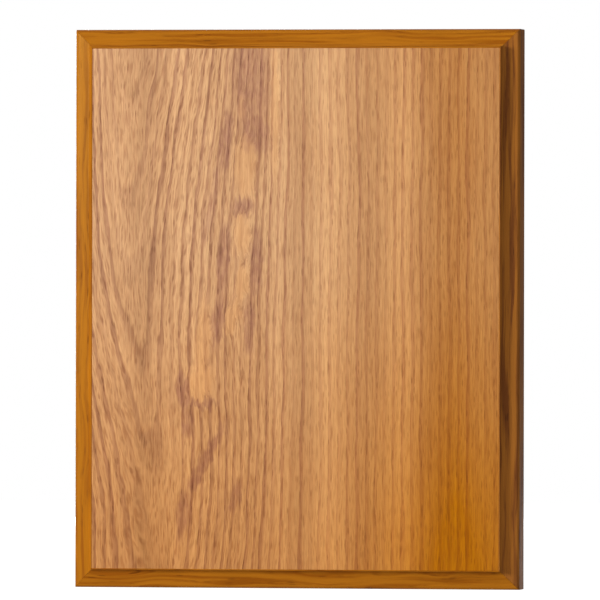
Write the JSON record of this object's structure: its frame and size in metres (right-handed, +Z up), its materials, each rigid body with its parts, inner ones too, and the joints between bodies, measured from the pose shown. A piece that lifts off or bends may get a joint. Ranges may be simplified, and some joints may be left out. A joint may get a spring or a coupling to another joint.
{
  "type": "wooden plaque",
  "caption": "Blank rectangular oak award plaque: veneered board in a mitred, ogee-moulded solid rail edge, with keyhole hangers recessed in the back.",
  "frame": {"origin": "middle of the back face, where the plaque meets the wall", "axes": "+X to the viewer's right when hung upright, +Y out of the back into the wall, +Z up along the height"},
  "size_m": [0.2048, 0.0191, 0.254],
  "materials": {
    "face_oak": "satin lacquer",
    "rail_oak": "semi-gloss amber stain",
    "core_mdf": "raw fibreboard",
    "back_wood": "matt sealed veneer",
    "nail_steel": "bare steel",
    "hanger_zinc": "zinc plated",
    "screw_zinc": "zinc plated"
  },
  "bodies": {
    "root": {"core_board": "core_mdf", "face_veneer": "face_oak", "back_veneer": "back_wood", "top_rail": "rail_oak", "right_rail": "rail_oak", "bottom_rail": "rail_oak", "left_rail": "rail_oak", "v_nail_top_right": "nail_steel", "v_nail_bottom_right": "nail_steel", "v_nail_bottom_left": "nail_steel", "v_nail_top_left": "nail_steel", "top_hanger_plate": "hanger_zinc", "side_hanger_plate": "hanger_zinc", "top_plate_upper_screw": "screw_zinc", "top_plate_lower_screw": "screw_zinc", "side_plate_outer_screw": "screw_zinc", "side_plate_inner_screw": "screw_zinc"}
  },
  "joints": []
}
